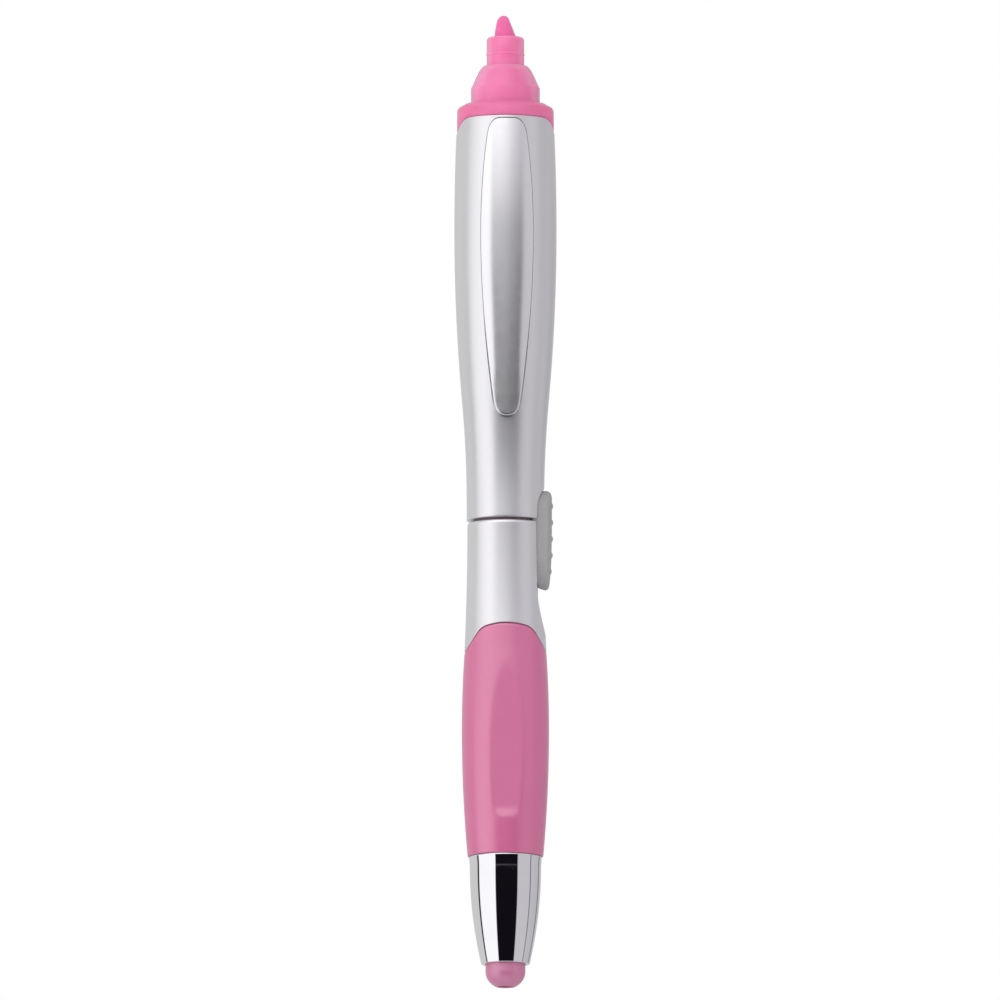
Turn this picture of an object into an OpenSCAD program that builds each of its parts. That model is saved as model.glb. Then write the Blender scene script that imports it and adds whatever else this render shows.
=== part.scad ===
// Highlighter pen with a slide-out ballpoint and a rubber stylus tip, in millimetres.
// The pen's axis is Z. The origin is the centre of the stylus mouth, and +Z points to the
// highlighter nib. The pocket clip faces -Y and the slider is on the +X side.

/* [Overall] */
// Stylus mouth to the tip of the highlighter nib
pen_length = 147; // [146:0.25:149]
// Radius of the upper barrel at its widest
belly_r = 7.68; // [7.6:0.02:7.9]
// Height of the widest place
belly_z = 114.6; // [113:0.2:116]
// Radius of the upper barrel at its waist, where it meets the lower barrel
waist_r = 5.82; // [5.8:0.01:5.9]
// Height of the joint between the barrels
seam_z = 70.2; // [69.8:0.1:70.6]
// Open groove left between the two barrels
seam_gap = 0.35; // [0.3:0.05:0.5]
// Height of the upper barrel's top edge
barrel_top = 131.2; // [131:0.1:131.6]

/* [Soft grip] */
// Radius of the grip at its widest
grip_r = 6.56; // [6.4:0.02:6.8]
// Height of the grip's widest place
grip_z = 38.9; // [37:0.5:41]
// Top of the grip's tongue, on the front and the back
tongue_z = 54.5; // [54:0.1:55]
// Distance from the axis to each finger flat
flat_y = 6.03; // [5.9:0.01:6.2]

/* [Nose and stylus] */
// Height of the joint between the chrome nose and the grip
nose_top = 19.6; // [19.2:0.1:20]
// Radius of the chrome nose at its top
nose_r = 5.36; // [5.3:0.02:5.5]
// Height of the chrome nose's lower edge
nose_bottom = 3.4; // [3.3:0.1:3.7]
// Radius of the rubber stylus tip
stylus_r = 3; // [2.9:0.05:3.02]
// Radius of the hole that the ballpoint comes out of
mouth_r = 1.25; // [1.22:0.01:1.3]

/* [Slider] */
// How far the slider and the refill travel
travel = 6; // [5:0.5:6]
// Half the slider's width
slider_half = 3.15; // [3:0.05:3.2]
// Lowest and highest points of the slider, ballpoint in
slider_low = 60.1; // [59.9:0.05:60.2]
slider_high = 75.15; // [74.8:0.05:75.2]
// Number of thumb ribs
ribs = 5; // [3:1:6]

/* [Refill] */
// Diameter of the writing ball
ball_d = 0.7; // [0.5:0.1:0.7]
// Diameter of the refill tube
refill_d = 2.4; // [2.3:0.05:2.5]

/* [Pocket clip] */
// Highest and lowest points of the clip
clip_top = 130.7; // [130.4:0.05:130.75]
clip_low = 85.75; // [84:0.25:87]
// Half the clip's greatest width
clip_half = 3.9; // [3.6:0.05:4]
// Thickness of the clip
clip_thick = 1.1; // [1:0.02:1.14]

/* [Highlighter] */
// Radius of the neck that the cap seats on
neck_r = 5.18; // [5.1:0.01:5.2]
// Radius of the sleeve round the nib
sleeve_r = 2.82; // [2.7:0.02:2.9]
// Radius of the fibre nib
nib_r = 1.65; // [1.5:0.05:1.75]

/* [Hidden] */
$fn = 96;
eps = 0.01;

// Gap between fixed pieces that fit into each other
fit = 0.05;
// Gap between pieces that move past each other
play = 0.15;

// ---- Colours
silver = [0.79, 0.79, 0.81];
pink = [0.89, 0.47, 0.68];
hot_pink = [0.95, 0.40, 0.67];
grey = [0.59, 0.58, 0.59];
brass = [0.78, 0.63, 0.35];
steel = [0.70, 0.70, 0.72];

// ---- Upper barrel: a belly, a flank that bends the other way, and a straight waist
waist_top = 73;
flank_z = 88.6;
belly_rho = (belly_z - flank_z) * (belly_z - waist_top) / (2 * (belly_r - waist_r));
flank_slope = (belly_z - flank_z) / belly_rho;
shoulder_rho = 340;
upper_bottom = seam_z + seam_gap;
function upper_r(z) =
    z > belly_z ? belly_r - pow(z - belly_z, 2) / (2 * shoulder_rho)
    : z > flank_z ? belly_r - pow(belly_z - z, 2) / (2 * belly_rho)
    : z > waist_top ? waist_r + flank_slope * pow(z - waist_top, 2) / (2 * (flank_z - waist_top))
    : waist_r;
upper_bore = 5.4;
waist_bore = 4.65;
bore_wide_z = 96;
bore_narrow_z = 88;

// ---- Lower barrel and grip share one outer line
lower_top = seam_z;
lower_top_r = 5.71;
blend_z = 50.5;
lower_rho = 212;
crown_rho = 172;
blend_r = grip_r - pow(blend_z - grip_z, 2) / (2 * crown_rho);
function lower_r(z) =
    z < grip_z ? grip_r - pow(grip_z - z, 2) / (2 * lower_rho)
    : z < blend_z ? grip_r - pow(z - grip_z, 2) / (2 * crown_rho)
    : lower_top_r + (blend_r - lower_top_r) * pow((lower_top - z) / (lower_top - blend_z), 2);
core_r = 4.9;
lower_bore = 4.1;
core_bore = 3.3;

// ---- Nose
nose_rho = 63;
nose_lip_z = nose_top - 1.4;
function nose_at(z) = nose_r - pow(nose_lip_z - z, 2) / (2 * nose_rho);
spigot_r = 4.3;
spigot_low = 12.3;

// ---- Slider
channel_gap = 0.25;
channel_half = slider_half + channel_gap;
channel_floor_r = 4.9;
slider_under_r = channel_floor_r + play;
slider_top_r = 6.98;
foot_half = 1.1;
foot_low = 67.9;
foot_high = 72.7;

// ---- Refill, ballpoint in
ball_r = ball_d / 2;
refill_r = refill_d / 2;
ball_z = 3 + ball_r;
refill_top = 70;
tube_low = 9.5;
ear_z = 30;
bush_top = 13;

// ---- Highlighter end
neck_low = 133.6;
neck_high = 136.05;
sleeve_low = 139.45;
sleeve_top = pen_length - 3.15;
skirt_low = 120;
reservoir_r = 4.3;
reservoir_low = 89.5;
reservoir_top = 129;
nib_low = 123.5;

// Steps from a to b, both included
function steps(a, b, n) = [for (i = [0:n]) a + (b - a) * i / n];

// Point on a cubic curve with end points p and s and handles q and r
function cubic(p, q, r, s, t) =
    pow(1 - t, 3) * p + 3 * pow(1 - t, 2) * t * q + 3 * (1 - t) * t * t * r + pow(t, 3) * s;

// A slab in the XZ plane, pushed through the pen along Y
module along_y(low, high) {
    translate([0, high, 0])
        rotate([90, 0, 0])
            linear_extrude(high - low)
                children();
}

// A slab in the YZ plane, pushed through the pen along X
module along_x(low, high) {
    translate([low, 0, 0])
        rotate([90, 0, 90])
            linear_extrude(high - low)
                children();
}

// A ring about the pen's axis
module ring(r_in, r_out, low, high) {
    translate([0, 0, low])
        difference() {
            cylinder(r = r_out, h = high - low);
            translate([0, 0, -1])
                cylinder(r = r_in, h = high - low + 2);
        }
}

// ---- Upper barrel

// Dip in the top edge, on each side of the pen, that keys the collar
dip_half = 5.5;
dip_depth = 2.15;
module dip_outline(gap) {
    half = dip_half - gap;
    polygon(concat(
        [for (y = steps(-half, half, 20))
            [y, barrel_top + gap - dip_depth * pow(0.5 + 0.5 * cos(180 * y / half), 1.45)]],
        [[half, barrel_top + 1], [-half, barrel_top + 1]]
    ));
}

// Outline of the slider's bed as seen from the side: round above, pointed below
module bed_outline(half, low, high, point) {
    round_z = high - half;
    point_z = low + point;
    polygon(concat(
        [for (a = steps(0, 180, 24)) [half * cos(a), round_z + half * sin(a)]],
        [for (a = steps(180, 360, 24)) [half * cos(a), point_z + point * sin(a)]]
    ));
}
module bed() {
    bed_outline(channel_half, slider_low - travel - 0.8, slider_high + channel_gap, 6.8);
}

// The clip's outline from the front
clip_shoulder = 0.75 * clip_half;
function clip_side(gap) =
    let (
        tip = [0, clip_low - gap],
        toe = [0.52 * clip_half + gap, clip_low + 2.3],
        wide = [clip_half + gap, belly_z - 1.1],
        neck = [clip_shoulder + gap, clip_top - 2.5],
        crown = [1, clip_top + gap]
    )
    concat(
        [for (t = steps(0, 1, 6)) cubic(tip, tip + [1.35, 0], toe - [0.27, 1.4], toe, t)],
        [for (t = steps(0.1, 1, 9)) cubic(toe, toe + [0.9, 6], wide - [0, 9.5], wide, t)],
        [for (t = steps(0.2, 1, 4)) cubic(wide, wide + [0, 6.5], neck + [0.4, -2.7], neck, t)],
        [for (t = steps(0.2, 1, 4)) cubic(neck, neck + [-0.2, 1.7], crown + [1.1, 0], crown, t)]
    );
module clip_outline(gap) {
    side = clip_side(gap);
    mirrored = [for (i = [len(side) - 1:-1:1]) [-side[i][0], side[i][1]]];
    polygon(concat(side, mirrored));
}

// The clip lies flush on the shoulder and bows in a little towards its free end
clip_rho = 940;
function clip_r(z) = z > belly_z ? upper_r(z) : belly_r - pow(belly_z - z, 2) / (2 * clip_rho);
knuckle_y = -6.25;
knuckle_z = clip_top - 2.3;
knuckle_r = 0.6;
knuckle_half = 2.2;
module knuckle(gap) {
    translate([-knuckle_half - gap, knuckle_y, knuckle_z])
        rotate([0, 90, 0])
            cylinder(r = knuckle_r + gap, h = 2 * (knuckle_half + gap));
}

module upper_barrel() {
    edge = 0.2;
    color(silver)
        difference() {
            rotate_extrude()
                polygon(concat(
                    [[waist_bore, upper_bottom], [waist_r - edge, upper_bottom]],
                    [for (z = steps(upper_bottom + edge, barrel_top - edge, 30)) [upper_r(z), z]],
                    [[upper_r(barrel_top) - edge, barrel_top], [upper_bore, barrel_top],
                     [upper_bore, bore_wide_z], [waist_bore, bore_narrow_z]]
                ));
            for (side = [-1, 1])
                along_x(side < 0 ? -10 : 3, side < 0 ? -3 : 10)
                    dip_outline(0);
            along_x(3, 10)
                bed();
            difference() {
                along_y(-12, -3)
                    clip_outline(play);
                cylinder(r = belly_r - clip_thick - play, h = pen_length);
            }
            knuckle(fit);
        }
}

module clip() {
    color(silver)
        union() {
            intersection() {
                along_y(-12, -3)
                    clip_outline(0);
                rotate_extrude()
                    polygon(concat(
                        [for (z = steps(clip_low - 1, clip_top + 1, 20)) [clip_r(z), z]],
                        [[belly_r - clip_thick, clip_top + 1], [belly_r - clip_thick, clip_low - 1]]
                    ));
            }
            knuckle(0);
        }
}

// ---- Highlighter end

module collar() {
    flange_r = 7.27;
    color(hot_pink)
        union() {
            rotate_extrude()
                polygon([
                    [upper_bore, barrel_top + fit], [flange_r, barrel_top + fit],
                    [flange_r, barrel_top + 1.45], [flange_r - 0.17, barrel_top + 1.8],
                    [flange_r - 0.52, barrel_top + 2.05], [6.25, neck_low - 0.2],
                    [6.15, neck_low], [upper_bore, neck_low]
                ]);
            intersection() {
                ring(upper_bore + fit, flange_r, barrel_top - dip_depth - 1, barrel_top + 0.5);
                union() {
                    along_x(-10, -3)
                        dip_outline(0.12);
                    along_x(3, 10)
                        dip_outline(0.12);
                }
            }
        }
}

// Neck, cone and nib sleeve in one moulding, with a skirt that plugs the barrel
module nib_section() {
    round = 0.5;
    color(pink)
        union() {
            rotate_extrude()
                polygon(concat(
                    [[upper_bore - fit - 0.9, skirt_low], [upper_bore - fit, skirt_low],
                     [upper_bore - fit, neck_low], [neck_r, neck_low],
                     [neck_r, neck_high], [4, sleeve_low - 0.8]],
                    [for (a = steps(25, 90, 4))
                        [3.25 + 0.8 * cos(a), sleeve_low - 0.8 + 0.8 * sin(a)]],
                    [[sleeve_r, sleeve_low]],
                    [for (a = steps(0, 90, 4))
                        [sleeve_r - round + round * cos(a), sleeve_top - round + round * sin(a)]],
                    [[nib_r + fit, sleeve_top], [nib_r + fit, reservoir_top + 2],
                     [upper_bore - fit - 0.9, reservoir_top + 0.5]]
                ));
            // Snap bead for the cap
            translate([0, 0, 141.2])
                rotate_extrude()
                    translate([sleeve_r - 0.13, 0])
                        circle(r = 0.2, $fn = 24);
        }
}

// Fibre rod with a chisel end: a steep facet, a slanted facet and a sloped writing edge
module highlighter_nib() {
    tip = pen_length;
    color(hot_pink)
        intersection() {
            translate([0, 0, nib_low])
                cylinder(r = nib_r, h = tip - nib_low);
            along_y(-4, 4)
                polygon([
                    [-4, nib_low - 1], [4, nib_low - 1], [4, tip - 3.2], [nib_r, tip - 3.2],
                    [0.5, tip - 0.5], [0.3, tip - 0.2], [0, tip - 0.03], [-0.3, tip],
                    [-0.7, tip - 0.1], [-1.05, tip - 0.35], [-1.22, tip - 0.7],
                    [-nib_r, tip - 2.8], [-4, tip - 2.8]
                ]);
            along_x(-4, 4)
                polygon([
                    [-4, nib_low - 1], [4, nib_low - 1], [4, tip - 3], [nib_r, tip - 2.2],
                    [1.1, tip - 1.15], [-1.1, tip], [-1.45, tip - 0.15], [-nib_r, tip - 0.5], [-4, tip - 3]
                ]);
        }
}

module ink_reservoir() {
    color([0.97, 0.55, 0.76])
        difference() {
            translate([0, 0, reservoir_low])
                cylinder(r = reservoir_r, h = reservoir_top - reservoir_low);
            translate([0, 0, nib_low - fit])
                cylinder(r = nib_r + fit, h = 10);
        }
}

module reservoir_wrap() {
    color([0.92, 0.92, 0.94])
        ring(reservoir_r + 0.02, reservoir_r + 0.12, reservoir_low, reservoir_top - 1);
}

// Closes the ink chamber off from the slide
module chamber_plug() {
    plug_r = waist_bore - fit;
    color(silver)
        difference() {
            translate([0, 0, 83.5])
                cylinder(r = plug_r, h = 4.5);
            translate([0, 0, 83])
                cylinder(r = plug_r - 1, h = 3.5);
        }
}

// ---- Middle: the sleeve that joins the barrels and guides the slide
guide_bore = 3.35;
slot_half = foot_half + 0.2;
window_low = seam_z + 0.8;
window_high = 79.2;
module coupler() {
    color(silver)
        difference() {
            rotate_extrude()
                polygon([
                    [guide_bore, 60], [lower_bore - fit, 60], [lower_bore - fit, seam_z],
                    [channel_floor_r, seam_z], [channel_floor_r, upper_bottom],
                    [waist_bore - fit, upper_bottom],
                    [waist_bore - fit, 81], [guide_bore, 81]
                ]);
            // Slot for the slider's foot
            translate([2, -slot_half, foot_low - travel - 0.5])
                cube([5, 2 * slot_half, foot_high - foot_low + travel + 1]);
            // Windows that stop the carrier's catches at both ends of the travel
            translate([-1.2, -6, window_low])
                cube([2.4, 12, window_high - window_low]);
        }
}

// ---- Lower half

// The grip's top edge as seen from the front: a crowned tongue with round corners
arch_side_z = tongue_z - 3.8;
module arch_outline(drop) {
    corner = [4.45, tongue_z - 1.36];
    start = [3, tongue_z - 0.33];
    half = concat(
        [for (x = steps(0, 3, 6)) [x, tongue_z - x * x / 27]],
        [for (t = steps(0.2, 1, 4)) cubic(start, start + [0.6, -0.15], corner + [-0.35, 0.5], corner, t)],
        [[6.12, arch_side_z], [8, arch_side_z - 2.8], [8, 5]]
    );
    mirrored = [for (i = [len(half) - 1:-1:1]) [-half[i][0], half[i][1]]];
    translate([0, -drop])
        polygon(concat(half, mirrored));
}

module lower_barrel() {
    edge = 0.2;
    color(silver)
        difference() {
            rotate_extrude()
                polygon(concat(
                    [[core_bore, spigot_low], [spigot_r, spigot_low], [spigot_r, nose_top + fit],
                     [core_r, nose_top + fit], [core_r, 46], [lower_r(46), 46]],
                    [for (z = steps(48, lower_top - edge, 14)) [lower_r(z), z]],
                    [[lower_top_r - edge, lower_top], [lower_bore, lower_top],
                     [lower_bore, 52], [core_bore, 50]]
                ));
            // Seat of the grip
            intersection() {
                ring(core_r, 9, 40, 60);
                along_y(-9, 9)
                    arch_outline(0);
            }
            // Bed of the slider and the slot for its foot
            difference() {
                along_x(3, 10)
                    bed();
                cylinder(r = channel_floor_r, h = pen_length);
            }
            translate([3, -slot_half, foot_low - travel - 0.5])
                cube([4, 2 * slot_half, 10]);
        }
}

// Soft sleeve with three finger flats
flat_low = 26;
flat_high = 50;
module grip() {
    color(pink)
        difference() {
            intersection() {
                rotate_extrude()
                    polygon(concat(
                        [[core_r + fit, nose_top + 2 * fit], [lower_r(nose_top + 1) - 0.2, nose_top + 2 * fit]],
                        [for (z = steps(nose_top + 0.6, tongue_z + 1, 20)) [lower_r(z), z]],
                        [[core_r + fit, tongue_z + 1]]
                    ));
                along_y(-9, 9)
                    arch_outline(0.06);
            }
            for (turn = [0, 120, 240])
                rotate([0, 0, turn])
                    translate([-5, -10, flat_low])
                        cube([10, 10 - flat_y, flat_high - flat_low]);
        }
}

// Chrome shell, open at both ends
rubber_flange_r = 3.45;
module nose_cone() {
    edge = 0.15;
    color(steel)
        rotate_extrude()
            polygon(concat(
                [[stylus_r + fit, nose_bottom], [nose_at(nose_bottom) - edge, nose_bottom]],
                [for (z = steps(nose_bottom + edge, nose_lip_z, 18)) [nose_at(z), z]],
                [[nose_r + 0.13, nose_top], [spigot_r + fit, nose_top], [spigot_r + fit, spigot_low - 0.3],
                 [rubber_flange_r + fit, 8.05], [rubber_flange_r + fit, 4.9], [stylus_r + fit, 4.9]]
            ));
}

// Conductive rubber dome with a hole through it
dome_z = 2.3;
dome_h = 2.6;
module stylus_tip() {
    lip = 0.1;
    flat_a = asin(dome_z / dome_h);
    color(pink)
        rotate_extrude()
            polygon(concat(
                [[mouth_r, 1.6], [mouth_r, lip], [mouth_r + lip, 0]],
                [for (a = steps(-flat_a, 0, 12)) [stylus_r * cos(a), dome_z + dome_h * sin(a)]],
                [[stylus_r, 4.95], [rubber_flange_r, 4.95], [rubber_flange_r, 6.45],
                 [2.25, 6.45], [2.25, 1.6]]
            ));
}

// Hard tube that carries the rubber, guides the refill and seats the spring
module tip_bush() {
    color([0.85, 0.85, 0.86])
        rotate_extrude()
            polygon([
                [1.45, 1.65], [2.2, 1.65], [2.2, 6.5], [rubber_flange_r, 6.5],
                [rubber_flange_r, 8], [2.6, 8], [2.6, bush_top], [1.45, bush_top]
            ]);
}

// Compression spring round the refill, with a closed turn at each end
spring_r = 1.75;
wire_r = 0.2;
spring_turns = 10;
spring_low = bush_top + wire_r + 0.03;
spring_high = ear_z - wire_r - 0.03;
rings_per_turn = 18;
wire_sides = 6;
function spring_z(turn) =
    let (closed = 2.2 * wire_r, open = spring_high - spring_low - 2 * closed)
    turn < 1 ? spring_low + closed * turn
    : turn > spring_turns - 1 ? spring_high - closed * (spring_turns - turn)
    : spring_low + closed + open * (turn - 1) / (spring_turns - 2);
module return_spring() {
    rings = spring_turns * rings_per_turn;
    last = rings * wire_sides;
    points = [for (i = [0:rings], j = [0:wire_sides - 1])
        let (
            turn = i / rings_per_turn,
            reach = spring_r + wire_r * cos(360 * j / wire_sides)
        )
        [reach * cos(360 * turn), reach * sin(360 * turn),
         spring_z(turn) + wire_r * sin(360 * j / wire_sides)]];
    walls = [for (i = [0:rings - 1], j = [0:wire_sides - 1])
        let (a = i * wire_sides, k = (j + 1) % wire_sides)
        [a + j, a + j + wire_sides, a + k + wire_sides, a + k]];
    start = [for (j = [0:wire_sides - 1]) j];
    end = [for (j = [wire_sides - 1:-1:0]) last + j];
    color(steel)
        polyhedron(points, concat(walls, [start, end]), convexity = 20);
}

// ---- Refill

module refill_tube() {
    inner = refill_r - 0.35;
    color([0.90, 0.90, 0.90])
        union() {
            ring(inner, refill_r, tube_low, refill_top);
            // Ears that the spring pushes on
            ring(refill_r - eps, 1.95, ear_z, ear_z + 0.8);
        }
}

module refill_ink() {
    color([0.07, 0.08, 0.16])
        translate([0, 0, 13.05])
            cylinder(r = refill_r - 0.37, h = 45);
}

module refill_tip() {
    stem_r = refill_r - 0.37;
    front = ball_z - 0.45 * ball_r;
    color(brass)
        difference() {
            rotate_extrude()
                polygon([
                    [0, front], [ball_r + 0.07, front], [0.62, 4.4], [0.95, 6], [1.15, 6.3],
                    [1.15, tube_low - 0.02], [stem_r, tube_low - 0.02], [stem_r, 13], [0, 13]
                ]);
            translate([0, 0, ball_z])
                sphere(r = ball_r + 0.02);
            translate([0, 0, ball_z])
                cylinder(r = 0.2, h = 12);
        }
}

module refill_ball() {
    color(steel)
        translate([0, 0, ball_z])
            sphere(r = ball_r);
}

// ---- Slide

module slider_outline(inset) {
    bed_outline(slider_half - inset, slider_low + inset, slider_high - inset, 5 - inset);
}

// Thumb piece with a curved back, cross ribs and a foot that reaches the carrier
module slider_button() {
    rib_r = 0.45;
    rib_pitch = 2.48;
    rib_low = slider_low + 2.8;
    color(grey)
        union() {
            intersection() {
                along_x(3, 10)
                    slider_outline(0);
                rotate_extrude()
                    polygon([
                        [slider_under_r, slider_low], [slider_top_r - 1.1, slider_low],
                        [slider_top_r - 0.55, slider_low + 0.6], [slider_top_r - 0.3, slider_low + 1.8],
                        [slider_top_r - 0.06, slider_low + 5], [slider_top_r, slider_low + 9],
                        [slider_top_r, slider_high - 1], [slider_top_r - 0.15, slider_high - 0.4],
                        [slider_top_r - 0.5, slider_high], [slider_under_r, slider_high]
                    ]);
            }
            intersection() {
                along_x(3, 10)
                    slider_outline(0.6);
                union() {
                    for (i = [0:ribs - 1])
                        translate([0, 0, rib_low + i * rib_pitch])
                            rotate_extrude()
                                translate([slider_top_r - 0.27 - (i < 1 ? 0.12 : 0), 0])
                                    circle(r = rib_r, $fn = 24);
                }
            }
            translate([2.4, -foot_half, foot_low])
                cube([slider_under_r - 2.2, 2 * foot_half, foot_high - foot_low]);
        }
}

// Cup for the refill's end, a socket for the foot and two springy catches
module refill_carrier() {
    body_r = guide_bore - fit;
    body_low = 62.5;
    body_high = 74;
    catch_low = seam_z + 0.8 + travel + 0.1;
    catch_high = window_high - 0.15;
    color([0.93, 0.93, 0.93])
        difference() {
            union() {
                translate([0, 0, body_low])
                    cylinder(r = body_r, h = body_high - body_low);
                intersection() {
                    ring(2.3, body_r, body_high - 1, catch_high);
                    translate([-1, -5, 70])
                        cube([2, 10, 12]);
                }
                intersection() {
                    ring(2.6, 4.1, catch_low, catch_high);
                    translate([-1, -5, 70])
                        cube([2, 10, 12]);
                }
            }
            translate([0, 0, body_low - 1])
                cylinder(r = refill_r + 0.03, h = refill_top - body_low + 1);
            translate([2.4, -foot_half - 0.02, foot_low - 0.02])
                cube([4, 2 * foot_half + 0.04, foot_high - foot_low + 0.04]);
        }
}

upper_barrel();
clip();
collar();
nib_section();
highlighter_nib();
ink_reservoir();
reservoir_wrap();
chamber_plug();
coupler();
lower_barrel();
grip();
nose_cone();
stylus_tip();
tip_bush();
return_spring();
refill_tube();
refill_ink();
refill_tip();
refill_ball();
slider_button();
refill_carrier();
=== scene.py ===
"""Looks of the highlighter pen: finished meshes, materials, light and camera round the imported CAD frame.

Every shape is worked out in millimetres and written in metres. The pen's axis is Z, its clip faces -Y and
its slider +X. A point on a shell is given by its turn (0 at the clip, a quarter at the slider), height and
radius.
"""

import math

import bmesh
import bpy
import numpy as np
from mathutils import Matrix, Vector
from mathutils.geometry import delaunay_2d_cdt


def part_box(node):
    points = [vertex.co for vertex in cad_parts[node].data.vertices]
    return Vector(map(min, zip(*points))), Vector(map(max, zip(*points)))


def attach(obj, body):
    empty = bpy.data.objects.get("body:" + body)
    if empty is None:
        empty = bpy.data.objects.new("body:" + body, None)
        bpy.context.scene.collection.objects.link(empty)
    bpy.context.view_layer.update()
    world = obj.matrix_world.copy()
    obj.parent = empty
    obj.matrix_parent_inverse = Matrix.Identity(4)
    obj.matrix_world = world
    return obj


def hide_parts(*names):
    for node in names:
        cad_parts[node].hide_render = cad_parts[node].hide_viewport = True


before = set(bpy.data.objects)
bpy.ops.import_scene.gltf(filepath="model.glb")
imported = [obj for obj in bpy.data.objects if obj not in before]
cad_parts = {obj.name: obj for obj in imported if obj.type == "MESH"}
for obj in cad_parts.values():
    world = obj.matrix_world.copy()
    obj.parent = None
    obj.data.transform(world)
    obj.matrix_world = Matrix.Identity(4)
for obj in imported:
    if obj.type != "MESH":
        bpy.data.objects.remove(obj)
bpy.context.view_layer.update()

MM = 0.001
PI = math.pi

# ------------ sizes read from the frame, in millimetres


def low(node, axis=2):
    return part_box(node)[0][axis] / MM


def high(node, axis=2):
    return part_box(node)[1][axis] / MM


BELLY_R = high("upper_barrel", 1)
BARREL_TOP = high("upper_barrel")
UPPER_BOTTOM = low("upper_barrel")
LOWER_TOP = high("lower_barrel")
CLIP_LOW, CLIP_TOP = low("clip"), high("clip")
CLIP_HALF = high("clip", 0)
GRIP_R = high("grip", 0)
GRIP_LOW = low("grip")
NOSE_LOW, NOSE_TOP = low("nose_cone"), high("nose_cone")
STYLUS_TOP = high("stylus_tip")
COLLAR_R, COLLAR_TOP = high("collar", 1), high("collar")
SLEEVE_TOP = high("nib_section")
SKIRT_LOW = low("nib_section")
NIB_TOP, NIB_LOW = high("highlighter_nib"), low("highlighter_nib")
NIB_R = high("highlighter_nib", 1)
SLIDER_LOW, SLIDER_HIGH = low("slider_button"), high("slider_button")
SLIDER_HALF = high("slider_button", 1)
SPIGOT_LOW = low("lower_barrel")

# ------------ sizes of the design that no box shows

BELLY_Z = 114.6
WAIST_R = 5.82
WAIST_TOP = 73.0
FLANK_Z = 88.6
SHOULDER_RHO = 340.0
UPPER_BORE = 5.4
WAIST_BORE = 4.65
BORE_WIDE_Z, BORE_NARROW_Z = 96.0, 88.0
DIP_HALF, DIP_DEPTH = 5.5, 2.15
CLIP_THICK = 1.1
POCKET_GAP = 0.15
CLIP_RHO = 940.0
# Towards its free end the clip's face is rounder than the barrel
CLIP_CROWN = 6.0
CLIP_CROWN_LOW, CLIP_CROWN_HIGH = 90.0, 112.0
CLIP_EDGE, CLIP_TIP_EDGE = 0.055, 0.22
# The drawn seam round the clip is finer than the moving gap of the frame
SEAM_SPREAD = 0.059
# Above its hinge the clip needs more room, because that end swings up and inwards
CROWN_SPREAD = 0.03
POCKET_FLOOR_DROP = 0.06
POCKET_EDGE = 0.03
# Rounding of a barrel's end at the groove, of the upper barrel's top, and of the edge along the grip
GROOVE_EDGE, TOP_EDGE, ARCH_EDGE = 0.17, 0.12, 0.1

GRIP_Z = 38.9
BLEND_Z = 50.5
LOWER_RHO, CROWN_RHO = 212.0, 172.0
LOWER_TOP_R = 5.71
TONGUE_Z = 54.5
CORE_R = 4.9
LOWER_BORE = 4.1
# Distance of the finger flats from the axis at their lower end, and how much they lean out above it
FLAT_R = 5.85
FLAT_LEAN = 0.02
FLAT_LOW = 26.0
LEDGE_SLOPE = 0.5

CHANNEL_HALF = 3.4
CHANNEL_FLOOR_R = 4.9
TRAVEL = 6.0
BED_LOW = SLIDER_LOW - TRAVEL - 0.8
BED_POINT = 6.8
BED_HIGH = SLIDER_HIGH + 0.25
SLOT_HALF = 1.3
SLOT_LOW = 61.4

SLIDER_TOP_R = 6.98
SLIDER_UNDER_R = 5.05
SLIDER_POINT = 5.0
SLIDER_EDGE = 0.3
RIBS = 5
RIB_PITCH = 2.48
RIB_LOW = SLIDER_LOW + 2.8

NECK_R = 5.18
NECK_HIGH = 136.05
SLEEVE_R = 2.82
SLEEVE_LOW = 139.45
HOLDER_R = 5.35

# ------------ outer lines

BELLY_RHO = (BELLY_Z - FLANK_Z) * (BELLY_Z - WAIST_TOP) / (2 * (BELLY_R - WAIST_R))
FLANK_SLOPE = (BELLY_Z - FLANK_Z) / BELLY_RHO
BLEND_R = GRIP_R - (BLEND_Z - GRIP_Z) ** 2 / (2 * CROWN_RHO)


def upper_r(z):
    """Radius of the upper barrel: a belly, a flank that bends the other way, and a straight waist."""
    shoulder = BELLY_R - (z - BELLY_Z) ** 2 / (2 * SHOULDER_RHO)
    belly = BELLY_R - (BELLY_Z - z) ** 2 / (2 * BELLY_RHO)
    flank = WAIST_R + FLANK_SLOPE * (z - WAIST_TOP) ** 2 / (2 * (FLANK_Z - WAIST_TOP))
    below = np.where(z > FLANK_Z, belly, np.where(z > WAIST_TOP, flank, WAIST_R))
    return np.where(z > BELLY_Z, shoulder, below)


def lower_r(z):
    """Radius of the grip and the lower barrel, which share one outer line."""
    foot = GRIP_R - (GRIP_Z - z) ** 2 / (2 * LOWER_RHO)
    crown = GRIP_R - (z - GRIP_Z) ** 2 / (2 * CROWN_RHO)
    share = (LOWER_TOP - z) / (LOWER_TOP - BLEND_Z)
    barrel = LOWER_TOP_R + (BLEND_R - LOWER_TOP_R) * share**2
    return np.where(z < GRIP_Z, foot, np.where(z < BLEND_Z, crown, barrel))


def smooth(low_end, high_end, value):
    t = np.clip((value - low_end) / (high_end - low_end), 0, 1)
    return t * t * (3 - 2 * t)


def cubic(p, q, r, s, count):
    """Points of a cubic curve from p to s, with handles q and r."""
    t = np.linspace(0, 1, count)[:, None]
    p, q, r, s = (np.array(v, float) for v in (p, q, r, s))
    return (1 - t) ** 3 * p + 3 * (1 - t) ** 2 * t * q + 3 * (1 - t) * t**2 * r + t**3 * s


def pairs(first, second):
    """Points from two coordinates, either of which may be one number for all of them."""
    return np.stack(np.broadcast_arrays(first, second), 1)


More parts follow.
